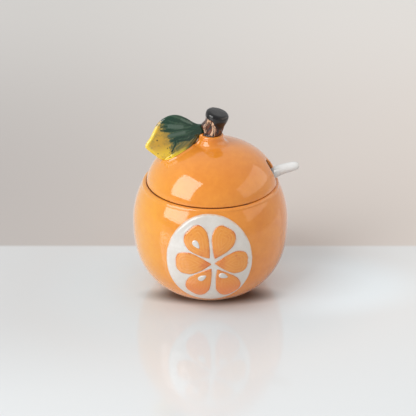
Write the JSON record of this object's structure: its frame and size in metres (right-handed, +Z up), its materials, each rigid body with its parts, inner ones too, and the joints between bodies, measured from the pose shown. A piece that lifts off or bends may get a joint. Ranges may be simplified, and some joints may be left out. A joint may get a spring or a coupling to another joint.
{
  "type": "jam pot",
  "caption": "Round glazed ceramic jam pot shaped like an orange, with a domed lift-off lid, stem and leaf knob, and a spoon that leans out through a notch in the lid.",
  "frame": {"origin": "middle of the foot ring, on the table", "axes": "+Z up; -Y is the front, with the orange slice; +X is the side where the spoon's handle comes out"},
  "size_m": [0.1079, 0.1039, 0.1227],
  "materials": {
    "orange_glaze": "glossy orange glaze",
    "pith_glaze": "satin off-white glaze",
    "pulp_glaze": "orange glaze, deeper towards the edges",
    "bark_glaze": "glossy brown and black glaze over grooved bark",
    "leaf_glaze": "glossy brushed green and yellow glaze",
    "spoon_glaze": "glossy white glaze"
  },
  "bodies": {
    "pot": {"pot_body": "orange_glaze", "slice_pith": "pith_glaze", "slice_segment_1": "pulp_glaze", "slice_segment_2": "pulp_glaze", "slice_segment_3": "pulp_glaze", "slice_segment_4": "pulp_glaze", "slice_segment_5": "pulp_glaze", "slice_segment_6": "pulp_glaze", "slice_pip_1": "pith_glaze", "slice_pip_2": "pith_glaze", "slice_pip_3": "pith_glaze"},
    "spoon_piece": {"spoon": "spoon_glaze"},
    "lid": {"lid_dome": "orange_glaze", "stem": "bark_glaze", "leaf": "leaf_glaze"}
  },
  "joints": [
    {"name": "spoon_lift", "type": "slide", "parent": "pot", "child": "spoon_piece", "axis": [0, 0, 1], "range_m": [0, 0.08]},
    {"name": "lid_lift", "type": "slide", "parent": "spoon_piece", "child": "lid", "axis": [0, 0, 1], "range_m": [0, 0.06]}
  ]
}
